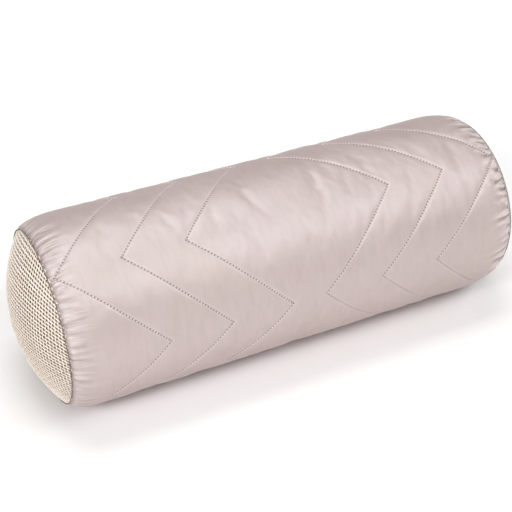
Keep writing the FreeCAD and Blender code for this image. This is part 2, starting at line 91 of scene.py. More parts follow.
# the zip's slot: its border is moved onto its true lines
SLOT_I = (LAST + 1 - round(SLOT_HALF / CELL), LAST + 1 + round(SLOT_HALF / CELL))
SLOT_J = tuple(round((math.pi - START_ANGLE + way * SLOT_WIDTH / RADIUS) / TURN) for way in (-1, 1))
for slot_i, way in zip(SLOT_I, (-1, 1)):
    GRID_X[slot_i, SLOT_J[0] : SLOT_J[1] + 1] = way * SLOT_HALF
for slot_j, way in zip(SLOT_J, (1, -1)):
    GRID_A[SLOT_I[0] : SLOT_I[1] + 1, slot_j] = way * (math.pi - SLOT_WIDTH / RADIUS)
GRID_S = GRID_A * RADIUS


def smooth(t):
    t = np.clip(t, 0, 1)
    return t * t * (3 - 2 * t)


def ring_radius(x):
    """The tube's radius at a length along it, as in CAD."""
    past = np.maximum(np.abs(x) - SHOULDER, 0)
    return RADIUS - SHOULDER_RADIUS + np.sqrt(SHOULDER_RADIUS**2 - past**2)


def round_points(x, angle, radius, lowest=-np.inf):
    """Points of the row frame from a length, an angle and a radius, no lower than a height."""
    z = np.maximum(AXIS + radius * np.sin(angle), lowest)
    return np.stack(np.broadcast_arrays(x, -radius * np.cos(angle), z), -1)


def place(x, angle, radius):
    """Points on the cover, eased onto the floor below."""
    points = round_points(x, angle, radius)
    z, ease = points[..., 2], 1.2 * MM
    points[..., 2] = 0.5 * (z + np.sqrt(z * z + ease * ease))
    return points


def way_out(angle, along=0.0):
    """The way out of the tube at an angle, leaning along it."""
    return np.stack([along + 0 * angle, -np.cos(angle), np.sin(angle)], -1)


def cut_behind(radius, angle, y, inset=0.0):
    """A radius cut short where it would pass a plane behind the pillow."""
    reach = y / np.maximum(-np.cos(angle), 1e-6) - inset
    return np.where(np.cos(angle) < 0, np.minimum(radius, reach), radius)


# ---- mesh helpers

def add_object(name, data):
    """A new object in the scene."""
    made = bpy.data.objects.new(name, data)
    bpy.context.scene.collection.objects.link(made)
    return made


def new_mesh(name, verts, faces, material, smooth_faces=True):
    """A mesh object; its faces are a list, or an array of triangles or quads."""
    mesh = bpy.data.meshes.new(name)
    faces = faces.tolist() if isinstance(faces, np.ndarray) else faces
    mesh.from_pydata(np.asarray(verts, float).tolist(), [], faces)
    mesh.polygons.foreach_set("use_smooth", [smooth_faces] * len(mesh.polygons))
    mesh.materials.append(material)
    return add_object(name, mesh)


def wrapped_grid(rows, columns, start=0):
    """Point numbers of a grid that closes on itself, those one column on, and the quads."""
    index = np.arange(rows * columns).reshape(rows, columns) + start
    after = np.roll(index, -1, 1)
    return index, after, np.stack([index[:-1], index[1:], after[1:], after[:-1]], -1)


def rod_faces(rows, columns, start=0):
    """Faces of a rod of rings: the quads along it and a cap on each end."""
    index, _, quads = wrapped_grid(rows, columns, start)
    along = quads[..., [0, 3, 2, 1]].reshape(-1, 4).tolist()
    return [*along, index[0][::-1].tolist(), index[-1].tolist()]


def set_attribute(made, name, values):
    """Stores one number or three for each vertex, for the material to read."""
    values = np.asarray(values, np.float32)
    kind, key = ("FLOAT", "value") if values.ndim == 1 else ("FLOAT_VECTOR", "vector")
    attribute = made.data.attributes.new(name, kind, "POINT")
    attribute.data.foreach_set(key, values.ravel())


def finish_piece(made, node):
    """Hangs a piece on the pillow's body and hides the CAD piece that it stands for."""
    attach(made, "bolster")
    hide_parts(node)


# ---- materials

class Shader:
    """A Principled material whose nodes are added in a few words."""

    def __init__(self, name, **values):
        self.material = bpy.data.materials.new(name)
        self.material.use_nodes = True
        self.tree = self.material.node_tree
        self.finish(**values)

    def node(self, kind, inputs=(), **settings):
        made = self.tree.nodes.new(kind)
        for key, value in settings.items():
            setattr(made, key, value)
        for key, value in dict(inputs).items():
            self.plug(made.inputs[key], value)
        return made

    def plug(self, socket, value):
        if isinstance(value, bpy.types.NodeSocket):
            self.tree.links.new(value, socket)
        else:
            socket.default_value = value

    def place(self):
        return self.node("ShaderNodeTexCoord").outputs["Object"]

    def attribute(self, name, output="Fac"):
        return self.node("ShaderNodeAttribute", attribute_name=name).outputs[output]

    def split(self, vector):
        return tuple(self.node("ShaderNodeSeparateXYZ", {"Vector": vector}).outputs)

    def stretch(self, vector, *factors):
        return self.node("ShaderNodeVectorMath", {0: vector, 1: factors}, operation="MULTIPLY").outputs[0]

    def math(self, operation, a, b=0.0):
        return self.node("ShaderNodeMath", {0: a, 1: b}, operation=operation).outputs[0]

    def wave(self, value, pitch):
        return self.math("SINE", self.math("MULTIPLY", value, FULL_TURN / pitch))

    def noise(self, vector, scale, detail=2.0, rough=0.5):
        values = {"Vector": vector, "Scale": scale, "Detail": detail, "Roughness": rough}
        return self.node("ShaderNodeTexNoise", values).outputs["Fac"]

    def ramp(self, value, low, high, to_low=0.0, to_high=1.0):
        values = {"Value": value, "From Min": low, "From Max": high, "To Min": to_low, "To Max": to_high}
        return self.node("ShaderNodeMapRange", values, interpolation_type="SMOOTHSTEP").outputs["Result"]

    def mix(self, share, a, b):
        return self.node("ShaderNodeMix", {0: share, 6: a, 7: b}, data_type="RGBA").outputs[2]

    def bump(self, height, distance, strength, under=None):
        values = {"Height": height, "Distance": distance, "Strength": strength}
        if under is not None:
            values["Normal"] = under
        return self.node("ShaderNodeBump", values).outputs["Normal"]

    def finish(self, **values):
        surface = self.tree.nodes["Principled BSDF"]
        for socket, value in values.items():
            self.plug(surface.inputs[socket.replace("_", " ")], value)
        return self.material


def rgb(*levels):
    """A colour given as it looks on a screen, 0 to 255, made linear."""
    return (*(((level / 255 + 0.055) / 1.055) ** 2.4 for level in levels), 1.0)


def satin_material():
    """Blush satin: a fine warp-faced weave, uneven tone, painted shade in needle holes and gathers, and
    painted highlights.
    """
    s = Shader("blush_satin", IOR=2.0, Specular_IOR_Level=1.0)
    highlight = rgb(236, 222, 219)
    sheet, away = s.attribute("sheet", "Vector"), s.attribute("stitch_away")
    lengthways, roundways, _ = s.split(sheet)

    clouds = s.noise(sheet, 16.0, 3.0)
    color = s.mix(clouds, rgb(166, 142, 140), rgb(181, 158, 155))
    color = s.mix(s.ramp(s.noise(sheet, 9.0), 0.48, 0.66, 0.0, 0.4), color, rgb(170, 148, 134))
    streaks = s.noise(s.stretch(sheet, 1.0, 0.2, 1.0), 260.0, 3.0)
    color = s.mix(s.ramp(streaks, 0.4, 0.7, 0.0, 0.15), color, rgb(142, 116, 108))

    # painted shade in the hollows of the gathers by the end seams, and a painted highlight on their ridges
    hollow = s.attribute("hollow")
    color = s.mix(s.ramp(hollow, 0.0, 1.0, 0.0, 0.85), color, rgb(112, 90, 88))
    color = s.mix(s.ramp(hollow, -0.8, 0.0, 0.45, 0.0), color, highlight)
    # a painted highlight on the puffed cloth just beside each line of quilting
    lip = s.math("MULTIPLY", s.ramp(away, 0.5 * MM, 1.3 * MM), s.ramp(away, 1.5 * MM, 3.0 * MM, 1.0, 0.0))
    color = s.mix(s.math("MULTIPLY", lip, 0.12), color, highlight)

    # dark dots at the needle holes: painted shade in the dimples where the thread pulls the cloth in
    beat = s.math("PINGPONG", s.attribute("stitch_along"), STITCH / 2)
    near_needle = s.ramp(beat, 0.5 * MM, 0.85 * MM, 1.0, 0.0)
    on_line = s.ramp(away, 0.5 * MM, 0.95 * MM, 1.0, 0.0)
    needle = s.math("MULTIPLY", near_needle, on_line)
    color = s.mix(needle, color, rgb(88, 62, 60))

    floats = s.math("MULTIPLY", s.wave(roundways, 0.45 * MM), 0.5)
    picks = s.math("MULTIPLY", s.wave(lengthways, 0.9 * MM), 0.2)
    slub = s.noise(sheet, 900.0)
    weave = s.math("ADD", s.math("ADD", floats, picks), s.math("MULTIPLY", slub, 1.4))
    normal = s.bump(weave, 0.02 * MM, 0.5)
    normal = s.bump(s.noise(sheet, 120.0, 3.0, 0.55), 0.5 * MM, 0.35, normal)

    pleats = s.ramp(s.noise(s.stretch(sheet, 0.16, 1.0, 1.0), 330.0), 0.3, 0.62)
    near_end = s.ramp(s.math("ABSOLUTE", lengthways), HALF - 28 * MM, HALF)
    normal = s.bump(s.math("MULTIPLY", pleats, near_end), 0.9 * MM, 0.8, normal)
    # painted shade in the valleys of the pleats near the end seams
    fold_shade = s.math("MULTIPLY", s.math("SUBTRACT", 1.0, pleats), s.math("MULTIPLY", near_end, 0.35))
    color = s.mix(fold_shade, color, rgb(130, 106, 105))
    normal = s.bump(s.math("SUBTRACT", 1.0, needle), 0.35 * MM, 0.8, normal)

    rough = s.math("ADD", s.ramp(clouds, 0.3, 0.7, 0.45, 0.54), s.math("MULTIPLY", slub, 0.1))
    return s.finish(Base_Color=color, Normal=normal, Roughness=rough)


def twisted(s, lay, plies):
    """The plies of a twisted strand, how far round it a point is, and how much painted shade it gets."""
    run, around, shade = s.split(s.attribute("strand", "Vector"))
    turn = s.math("ADD", s.math("MULTIPLY", run, FULL_TURN / lay), s.math("MULTIPLY", around, plies))
    return s.math("SINE", turn), around, shade


def cord_material():
    """Cream cotton cord: twisted plies, fluff, uneven dye, and painted shade between plies, on its undersides
    and under crossing cords.
    """
    s = Shader("cream_cord", Roughness=0.9, Sheen_Weight=0.35, Sheen_Roughness=0.5)
    ply, around, shade = twisted(s, 2.2 * MM, 3.0)
    where = s.place()
    color = s.mix(s.noise(where, 45.0), rgb(255, 237, 222), rgb(255, 247, 236))
    # darker where the cord dives under the crossing cords (painted shade), and by a random amount for each
    # cord
    color = s.mix(s.ramp(shade, 0.1, 0.9, 0.0, 0.7), color, rgb(186, 160, 140))
    # painted shade in the grooves between the plies, and on the cord's undersides
    color = s.mix(s.ramp(ply, -1.0, -0.2, 0.32, 0.0), color, rgb(176, 150, 124))
    color = s.mix(s.ramp(s.math("SINE", around), -0.2, 0.45, 0.4, 0.0), color, rgb(140, 116, 96))
    height = s.math("ADD", s.math("MULTIPLY", ply, 0.5), s.noise(where, 1400.0, 3.0, 0.6))
    return s.finish(Base_Color=color, Normal=s.bump(height, 0.16 * MM, 0.7))


def thread_material(name, tone):
    """Twisted polyester sewing thread, with painted shade between its plies."""
    s = Shader(name, Roughness=0.5, Sheen_Weight=0.3)
    twist = twisted(s, 0.55 * MM, 2.0)[0]
    # painted shade in the grooves between the plies
    ply_shade = tuple(c * 0.7 for c in tone[:3]) + (1.0,)
    color = s.mix(s.ramp(twist, -1.0, 0.4), ply_shade, tone)
    return s.finish(Base_Color=color, Normal=s.bump(twist, 0.05 * MM, 0.7))


def plain_weave_material(name, low, high, pitch):
    """Plain-woven cloth seen on any solid: two crossed rows of yarn, from places in the row frame."""
    s = Shader(name, Roughness=0.88, Sheen_Weight=0.2)
    where = s.place()
    x, y, z = s.split(where)
    weave = s.math("MULTIPLY", s.wave(x, pitch), s.wave(s.math("ADD", y, z), pitch))
    color = s.mix(s.ramp(weave, -1.0, 1.0), low, high)
    color = s.mix(s.math("MULTIPLY", s.noise(where, 30.0), 0.3), color, low)
    return s.finish(Base_Color=color, Normal=s.bump(weave, pitch * 0.12, 0.6))


def fibre_material(name, low, high):
    """Matted white fibre: soft, uneven and criss-crossed with fine hairs."""
    s = Shader(name, Roughness=0.95, Sheen_Weight=0.5, Subsurface_Weight=0.1)
    where = s.place()
    hairs = s.noise(s.stretch(where, 1.0, 0.25, 1.0), 1100.0, 4.0, 0.7)
    tufts = s.noise(where, 90.0, 4.0, 0.6)
    height = s.math("ADD", hairs, s.math("MULTIPLY", tufts, 2.0))
    return s.finish(Base_Color=s.mix(tufts, low, high), Normal=s.bump(height, 0.8 * MM, 0.7))


def plastic_material(name, low, high):
    """Moulded plastic with faint flow marks and a slight change of gloss."""
    s = Shader(name)
    marks = s.noise(s.place(), 350.0, 3.0)
    rough = s.ramp(marks, 0.2, 0.8, 0.3, 0.5)
    normal = s.bump(marks, 0.03 * MM, 0.4)
    return s.finish(Base_Color=s.mix(marks, low, high), Normal=normal, Roughness=rough)


def metal_material():
    """Painted zinc, rubbed to bare metal along its edges."""
    s = Shader("blush_painted_zinc")
    edge = s.ramp(s.node("ShaderNodeNewGeometry").outputs["Pointiness"], 0.53, 0.6)
    scratch = s.noise(s.stretch(s.place(), 1.0, 1.0, 7.0), 900.0, 3.0, 0.6)
    worn = s.math("MULTIPLY", edge, s.ramp(scratch, 0.35, 0.6))
    color = s.mix(worn, rgb(204, 170, 164), rgb(190, 186, 180))
    rough = s.ramp(scratch, 0.3, 0.7, 0.24, 0.42)
    normal = s.bump(scratch, 0.01 * MM, 0.4)
    return s.finish(Base_Color=color, Normal=normal, Roughness=rough, Metallic=worn)


def repaint(node, material):
    """Gives a carried-over CAD piece its material."""
    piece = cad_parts[node]
    piece.data.materials.clear()
    piece.data.materials.append(material)


# ---- the quilting's lines

def row_cell(side, row, turn):
    """The cell along the pillow where a row is, at a number of cells round from the first corner."""
    share = 1 - abs((turn / LEG) % 2 - 1)
    return side * (FIRST_ROW + ROW_STEP * row + LEG * share)


FIRST_TURN = math.ceil((-ROW_END - START_ANGLE) / TURN)
LAST_TURN = math.floor((ROW_END - START_ANGLE) / TURN)
CORNERS = [FIRST_TURN, *range(-3 * LEG, 3 * LEG + 1, LEG), LAST_TURN]
LEGS = list(zip(CORNERS, CORNERS[1:]))  # where each leg starts and ends, in cells round from the first corner
STITCHES_PER_LEG = 38
STITCH = math.hypot(LEG * CELL, LEG * TURN * RADIUS) / STITCHES_PER_LEG


def stitch_fields():
    """How far each grid point is from the nearest line of quilting, and how far along that line."""
    away = np.full(GRID_X.shape, 1.0)
    along = np.zeros(GRID_X.shape)
    for side in SIDES.values():
        for row in range(len(ROWS)):
            for first, last in LEGS:
                x0, x1 = (row_cell(side, row, t) * CELL for t in (first, last))
                s0, s1 = ((START_ANGLE + t * TURN) * RADIUS for t in (first, last))
                dx, ds = x1 - x0, s1 - s0
                t = np.clip(((GRID_X - x0) * dx + (GRID_S - s0) * ds) / (dx * dx + ds * ds), 0, 1)
                d = np.hypot(GRID_X - x0 - t * dx, GRID_S - s0 - t * ds)
                closer = d < away
                away[closer] = d[closer]
                along[closer] = (t * math.hypot(dx, ds))[closer]
    return away, along


AWAY, ALONG = stitch_fields()
FROM_END = HALF - np.abs(GRID_X)
EASE = smooth(FROM_END / GATHERED)  # 0 at the end seams


# ---- the satin, puffed by cloth simulation

STEP = 2  # grid cells to a simulated cell
FRAMES = 25
EXTRA_CLOTH, EXTRA_REACH = 5.0 * MM, 34 * MM  # the cloth gathered in at an end seam, and how far it reaches
PINNED = 1.3 * MM  # from a line of quilting
PINNED_X, PINNED_UP = 178 * MM, 11 * MM  # round the zip
SATIN_CLOTH = dict(
    quality=6,
    mass=0.15,
    tension_stiffness=18,
    compression_stiffness=18,
    shear_stiffness=8,
    bending_stiffness=0.25,
    air_damping=2,
    shrink_min=-0.006,
    use_pressure=True,
    uniform_pressure_force=7,
)


def simulate_puff():
    """Blows the sheet out between its stitches and returns how far each simulated point moved out.

    The sheet is pinned along the quilting, at both end seams and round the zip. It is cut larger than the
    form that it is pinned to near the end seams, so it gathers there.
    """
    rows = np.unique(np.concatenate([[0], np.arange(1 + LAST % STEP, len(XS) - 1, STEP), [len(XS) - 1]]))
    columns = np.arange(0, AROUND, STEP)
    gx, ga = np.meshgrid(XS[rows], ANGLES[columns], indexing="ij")
    from_end = HALF - np.abs(gx)
    ease = smooth(from_end / GATHERED)
    rng = np.random.default_rng(SEED)
    base = ring_radius(gx) - SINK * ease
    start = base + rng.normal(0, 0.12 * MM, base.shape) * ease
    cut = base + EXTRA_CLOTH * (1 - smooth(from_end / EXTRA_REACH))

    quads = wrapped_grid(*gx.shape)[2].reshape(-1, 4)
    blown = new_mesh("puff", round_points(gx, ga, start).reshape(-1, 3), quads, None)
    blown.shape_key_add(name="Basis")
    blown.shape_key_add(name="cut").data.foreach_set("co", round_points(gx, ga, cut).ravel())
    pins = blown.vertex_groups.new(name="pins")
    by_zip = (np.abs(np.abs(ga) - math.pi) * RADIUS < PINNED_UP) & (np.abs(gx) < PINNED_X)
    pinned = (AWAY[np.ix_(rows, columns)] < PINNED) | (from_end < TINY) | by_zip
    pins.add(np.flatnonzero(pinned.ravel()).tolist(), 1.0, "REPLACE")

    cloth = blown.modifiers.new("cloth", "CLOTH")
    for key, value in SATIN_CLOTH.items():
        setattr(cloth.settings, key, value)
    cloth.settings.vertex_group_mass = "pins"
    cloth.settings.rest_shape_key = blown.data.shape_keys.key_blocks["cut"]
    cloth.settings.effector_weights.gravity = 0
    cloth.collision_settings.use_collision = False
    for number in range(1, FRAMES + 1):
        bpy.context.scene.frame_set(number)
    shape = blown.evaluated_get(bpy.context.evaluated_depsgraph_get()).to_mesh()
    moved = np.empty(len(shape.vertices) * 3)
    shape.vertices.foreach_get("co", moved)
    moved = moved.reshape(*gx.shape, 3)
    bpy.context.scene.frame_set(1)
    bpy.data.objects.remove(blown)
    radius = np.hypot(moved[..., 1], moved[..., 2] - AXIS)
    return rows, columns, np.clip(radius - base, -1.5 * MM, 6 * MM)


def spread_to_grid(rows, columns, values):
    """Values on the simulated points, spread evenly over the whole grid."""
    long = np.stack([np.interp(np.arange(len(XS)), rows, column) for column in values.T], 1)
    wrapped = np.concatenate([long, long[:, :1]], 1)
    return np.stack([np.interp(np.arange(AROUND), [*columns, AROUND], row) for row in wrapped])


def soften(values, times=1):
    """Averages each grid point with its neighbours."""
    for _ in range(times):
        values = (np.roll(values, 1, 1) + 2 * values + np.roll(values, -1, 1)) / 4
        padded = np.concatenate([values[:1], values, values[-1:]])
        values = (padded[:-2] + 2 * values + padded[2:]) / 4
    return values


def crease(field, side, angle, run, turn, width, depth):
    """Presses one crease into the field, inward from an end seam, turning by an angle.

    It is deepest at its start and fades along its run, with a soft lip on each side.
    """
    inward = HALF - 0.5 * MM - side * XS
    i = np.flatnonzero((inward >= -width) & (inward <= run))
    t = np.clip(inward[i] / run, 0, 1)
    centre = angle * RADIUS + math.tan(turn) * t * run
    gap = GRID_S[i] - centre[:, None]
    around = FULL_TURN * RADIUS
    gap = (gap + around / 2) % around - around / 2
    swell = (1 - t) ** 1.3
    spread = width * (1 + 0.8 * t)[:, None]
    lips = np.exp(-(((np.abs(gap) - 2.1 * spread) / (1.1 * spread)) ** 2))
    field[i] -= depth * swell[:, None] * (np.exp(-((gap / spread) ** 2)) - 0.6 * lips)


GATHERS, STRAYS = 66, 30
GATHER_DEPTH = {-1: 0.55, 1: 0.8}  # how deep the gathers go at each end, as a share
RUN_MEDIAN, RUN_MAX = 13, 46  # the gathers' lengths, in mm
# the folds by each seam that stand out: degrees round, mm long, turn, mm wide, mm deep
STANDING_CREASES = {
    -1: (
        (92, 34, 0.10, 2.2, 0.9), (84, 26, 0.12, 1.8, 0.8), (52, 30, -0.10, 1.8, 0.7),
        (44, 24, -0.12, 1.6, 0.6), (30, 36, 0.08, 2.4, 0.7), (8, 40, -0.02, 2.2, 0.8),
        (2, 30, -0.02, 1.8, 0.7), (-8, 34, -0.10, 1.9, 1.0), (-31, 44, 0.0, 2.0, 0.9),
        (-36, 48, 0.02, 1.7, 0.9), (-41, 44, 0.03, 1.7, 0.9), (-46, 38, 0.03, 1.6, 0.8),
    ),
    1: (
        (98, 26, -0.1, 2.0, 0.9), (88, 30, -0.12, 2.0, 0.9), (78, 26, -0.1, 1.8, 0.8),
        (36, 16, 0.1, 1.8, 0.9), (24, 18, 0.1, 1.8, 0.8), (-17, 22, 0.25, 3.0, 2.6),
    ),
}


def end_gathers(rng):
    """Creases where the tube is gathered into the end seams: a row, strays, and a few that stand out."""
    field = np.zeros(GRID_X.shape)
    for side in SIDES.values():
        angles = (np.arange(GATHERS) + rng.uniform(-0.4, 0.4, GATHERS)) * FULL_TURN / GATHERS
        for angle in np.concatenate([angles, rng.uniform(-math.pi, math.pi, STRAYS)]):
            run = min(rng.lognormal(math.log(RUN_MEDIAN), 0.5), RUN_MAX) * MM
            width = rng.uniform(1.1, 2.1) * MM
            depth = rng.uniform(0.5, 2.6) * MM * GATHER_DEPTH[side]
            crease(field, side, angle, run, rng.normal(0, 0.14), width, depth)
    for side, folds in STANDING_CREASES.items():
        for degrees, run, turn, width, depth in folds:
            crease(field, side, math.radians(degrees), run * MM, turn, width * MM, depth * MM)
    limit = np.where(field > 0, 0.9 * MM, 2.6 * MM) * (0.45 + 0.55 * smooth(FROM_END / (5 * MM)))
    return limit * np.tanh(field / limit)


def line_puckers(field, rng):
    """Short creases beside the quilting, where the thread draws the cloth together."""
    for side in SIDES.values():
        for row in range(len(ROWS)):
            for first, last in LEGS:
                for turn in np.arange(first + 2, last - 2, 3.4):
                    turn += rng.uniform(-1.2, 1.2)
                    cell = row_cell(side, row, turn)
                    slope = math.copysign(1, row_cell(side, row, turn + 0.01) - cell)
                    normal = np.array([-1, slope]) / math.sqrt(2) * rng.choice([-1, 1])
                    lean = rng.normal(0, 0.35)
                    cos, sin = math.cos(lean), math.sin(lean)
                    normal = normal @ np.array([[cos, sin], [-sin, cos]])
                    depth = rng.uniform(0.03, 0.2) * MM
                    length, width = rng.uniform(2.5, 6.5), rng.uniform(0.8, 1.4)
                    press_pucker(field, cell, turn, normal, length, width, depth)


def press_pucker(field, cell, turn, normal, length, width, depth):
    """One short crease from a point of the quilting; its length and width are in cells."""
    i0, j0, reach = int(round(cell)) + LAST + 1, int(round(turn)), 9
    i = np.arange(max(i0 - reach, 1), min(i0 + reach + 1, len(XS) - 1))
    j = np.arange(j0 - reach, j0 + reach + 1)
    u, v = np.meshgrid(i - LAST - 1 - cell, j - turn, indexing="ij")
    t = u * normal[0] + v * normal[1]
    across = -u * normal[1] + v * normal[0]
    swell = smooth(t / 1.2) * (1 - smooth(t / length))
    field[np.ix_(i, j % AROUND)] -= depth * swell * np.exp(-((across / width) ** 2))


GROOVE_WIDTH, GROOVE_DEPTH = 1.5 * MM, 0.6 * MM
PUFF_EASE = 6 * MM  # from a line of quilting to where the puff is free
ROLL, ROLL_REACH = 0.6 * MM, 9 * MM  # the cloth's soft roll beside an end seam
SEAM_DIP, SEAM_DIP_REACH = 0.5 * MM, 2.2 * MM


def cover_radius():
    """The satin's radius at every grid point."""
    rng = np.random.default_rng(SEED)
    puff = spread_to_grid(*simulate_puff())
    puff = 0.5 * (soften(puff) + soften(puff, 8))
    puff *= smooth(AWAY / PUFF_EASE) * 0.9 + 0.1
    groove = np.exp(-((AWAY / GROOVE_WIDTH) ** 2)) * smooth(FROM_END / (8 * MM))
    field = ring_radius(GRID_X) - SINK * EASE + puff - GROOVE_DEPTH * groove
    field += end_gathers(rng)
    line_puckers(field, rng)
    roll = smooth(FROM_END / (3 * MM)) * np.exp(-((FROM_END / ROLL_REACH) ** 2))
    return field + ROLL * roll - SEAM_DIP * np.exp(-((FROM_END / SEAM_DIP_REACH) ** 2))


def hollows(radius):
    """How far each grid point lies in a hollow (up to 1) or on a ridge (down to -1), for painted shade and
    highlight.
    """
    near, wide = soften(radius, 3) - radius, soften(radius, 14) - radius
    share = np.where(GRID_X > 0, 1.0, 0.45) * (1 - smooth(FROM_END / (50 * MM)))
    return np.clip((near + 0.5 * wide) / (0.4 * MM), -1, 1) * share


def diagonal_faces():
    """Triangles of the grid, split the way that the quilting runs there, less the zip's slot."""
    i, j = np.indices((len(XS) - 1, AROUND))
    a, b, c, d = np.moveaxis(wrapped_grid(len(XS), AROUND)[2], -1, 0)
    turns = np.where(j > AROUND / 2, j - AROUND, j)
    rising = (np.floor(turns / LEG) % 2 == 0) == (i >= len(XS) // 2)
    in_slot = (i >= SLOT_I[0]) & (i < SLOT_I[1]) & (j >= SLOT_J[0]) & (j < SLOT_J[1])
    up = [np.stack(t, -1)[rising & ~in_slot] for t in ((a, b, c), (a, c, d))]
    down = [np.stack(t, -1)[~rising & ~in_slot] for t in ((a, b, d), (b, c, d))]
    return np.concatenate(up + down)


# how a turned edge goes, in mm: past the edge, then below the surface
END_HEM = ((0.15, 0.5), (0.1, 1.3), (-0.5, 2.0), (-3.0, 2.1))
SLOT_HEM = ((-0.25, 0.5), (-0.1, 1.2), (0.6, 1.7), (3.5, 1.9))


def turn_in(points, faces, marks, loop, steps):
    """Turns a cloth's edge in: one more ring of the loop's points for each of the steps' moved copies."""
    ring = np.asarray(loop)
    for moved in steps:
        fresh = np.arange(len(ring)) + len(points)
        points = np.concatenate([points, moved])
        marks = np.concatenate([marks, marks[loop]])
        a, b, c, d = ring, fresh, np.roll(fresh, -1), np.roll(ring, -1)
        faces = np.concatenate([faces, np.stack([a, b, c], -1), np.stack([a, c, d], -1)])
        ring = fresh
    return points, faces, marks


def satin_tube(radius):
    """The cover's satin tube, with its raw edges turned in at the ends and round the zip."""
    points = place(GRID_X, GRID_A, radius).reshape(-1, 3)
    # where the material paints shade and highlight on the gathers, kept off the lines of quilting
    hollow = hollows(radius) * smooth(AWAY / (3 * MM))
    marks = np.stack([GRID_X, GRID_S, AWAY, ALONG, hollow], -1).reshape(-1, 5)
    faces = diagonal_faces()
    index = np.arange(GRID_X.size).reshape(GRID_X.shape)

    for i, side in ((0, -1), (len(XS) - 1, 1)):
        order = slice(None, None, side)
        angle, r = GRID_A[i, order], radius[i, order]
        steps = [place(side * (HALF + x * MM), angle, r - depth * MM) for x, depth in END_HEM]
        points, faces, marks = turn_in(points, faces, marks, index[i, order], steps)

    (i0, i1), (j0, j1) = SLOT_I, SLOT_J
    corners = [(i, j0) for i in range(i0, i1)] + [(i1, j) for j in range(j0, j1)]
    corners += [(i, j1) for i in range(i1, i0, -1)] + [(i0, j) for j in range(j1, j0, -1)]
    i, j = np.array(corners[::-1]).T
    x, r = GRID_X[i, j], radius[i, j]
    up = (np.copysign(math.pi, GRID_A[i, j]) - GRID_A[i, j]) * RADIUS
    out_x = np.where(np.abs(x) > SLOT_HALF - TINY, np.sign(x), 0)
    out_up = np.where(np.abs(up) > SLOT_WIDTH - TINY, np.sign(up), 0)
    steps = []
    for sideways, depth in SLOT_HEM:
        angle = math.pi - (up + out_up * sideways * MM) / RADIUS
        steps.append(place(x + out_x * sideways * MM, angle, r - depth * MM))
    points, faces, marks = turn_in(points, faces, marks, index[i, j], steps)

    made = new_mesh("satin_tube", points, faces, SATIN)
    set_attribute(made, "sheet", np.pad(marks[:, :2], ((0, 0), (0, 1))))
    for k, name in ((2, "stitch_away"), (3, "stitch_along"), (4, "hollow")):
        set_attribute(made, name, marks[:, k])
    return made


# ---- cords and thread

CORD_SIDES = 6
STITCH_LIFT = 0.4 * MM  # above the cloth, at the middle of a stitch


def strands(name, paths, material):
    """One mesh of many cords.

    Each path is its points, the ways out of the cloth there, half widths, half thicknesses and shade: painted
    shade, with some random tone.
    """
    verts, faces, marks = [], [], []
    count = 0
    around = np.arange(CORD_SIDES) * FULL_TURN / CORD_SIDES
    for points, out, wide, thick, shade in paths:
        n = len(points)
        forward = np.gradient(points, axis=0)
        forward /= np.linalg.norm(forward, axis=1)[:, None]
        across = np.cross(forward, out)
        across /= np.linalg.norm(across, axis=1)[:, None]
        out = np.cross(across, forward)
        wide, thick = (np.broadcast_to(v, n)[:, None, None] for v in (wide, thick))
        ring = (
            points[:, None]
            + across[:, None] * wide * np.cos(around)[None, :, None]
            + out[:, None] * thick * np.sin(around)[None, :, None]
        )
        verts.append(ring.reshape(-1, 3))
        faces += rod_faces(n, CORD_SIDES, count)
        count += n * CORD_SIDES
        mark = np.zeros((n, CORD_SIDES, 3))
        mark[..., 0] = lengths_along(points)[:, None]
        mark[..., 1] = around[None]
        mark[..., 2] = np.broadcast_to(shade, n)[:, None]
        marks.append(mark.reshape(-1, 3))
    made = new_mesh(name, np.concatenate(verts), faces, material)
    set_attribute(made, "strand", np.concatenate(marks))
    return made


def lengths_along(points):
    """How far along a line each of its points is."""
    return np.concatenate([[0], np.cumsum(np.linalg.norm(np.diff(points, axis=0), axis=1))])


def stitch_run(points, outs, pitch, half=0.28 * MM, count=None, gap=0.18):
    """Separate stitches along a line of surface points, each rising from the cloth and diving back."""
    length = lengths_along(points)
    count = count or max(1, round(length[-1] / pitch))
    shape = gap + (1 - 2 * gap) * np.array([0, 0.16, 0.5, 0.84, 1])
    rise = np.array([-0.5, 0.75, 1.0, 0.75, -0.5]) * STITCH_LIFT
    thin = np.array([0.6, 0.95, 1.0, 0.95, 0.6]) * half
    paths = []
    for k in range(count):
        at = (k + shape) * length[-1] / count
        centre, out = (np.stack([np.interp(at, length, v) for v in w.T], 1) for w in (points, outs))
        out /= np.linalg.norm(out, axis=1)[:, None]
        paths.append((centre + out * rise[:, None], out, thin, thin, 0.0))
    return paths


def quilting_threads(radius):
    """Three zigzag rows of stitches on each half, each in the groove that it pulls."""
    surface = place(GRID_X, GRID_A, radius)
    for word, side in SIDES.items():
        for row, row_name in enumerate(ROWS):
            paths = []
            for first, last in LEGS:
                turns = np.arange(first, last + 1)
                cells = np.array([round(row_cell(side, row, t)) for t in turns]) + LAST + 1
                points = surface[cells, turns % AROUND]
                flat = (last - first) * math.hypot(CELL, TURN * RADIUS)
                count = max(1, round(flat / STITCH))
                paths += stitch_run(points, way_out(ANGLES[turns % AROUND]), STITCH, count=count)
            made = strands(f"quilting_stitches_{word}_{row_name}", paths, QUILT_THREAD)
            finish_piece(made, f"quilting_thread_{word}_{row_name}")


# ---- woven ends

CORD_DEPTH = 0.5 * MM  # from the dome to the middle of the weave
RIM = BALL * math.asin(SEAM_RADIUS / BALL)  # from the dome's middle to its seam, along the cloth
TURNED_UNDER = 2.5 * MM  # the cloth past the seam
# pitch, half width, half thickness and lift: of the cords from front to back, then of those up and down
WEFT = (3.6 * MM, 0.85 * MM, 0.44 * MM, 0.14 * MM)
WARP = (4.0 * MM, 0.7 * MM, 0.38 * MM, -0.32 * MM)
WARP_SINK = 0.2 * MM
WANDER = 0.25 * MM  # how far the cords stray from straight


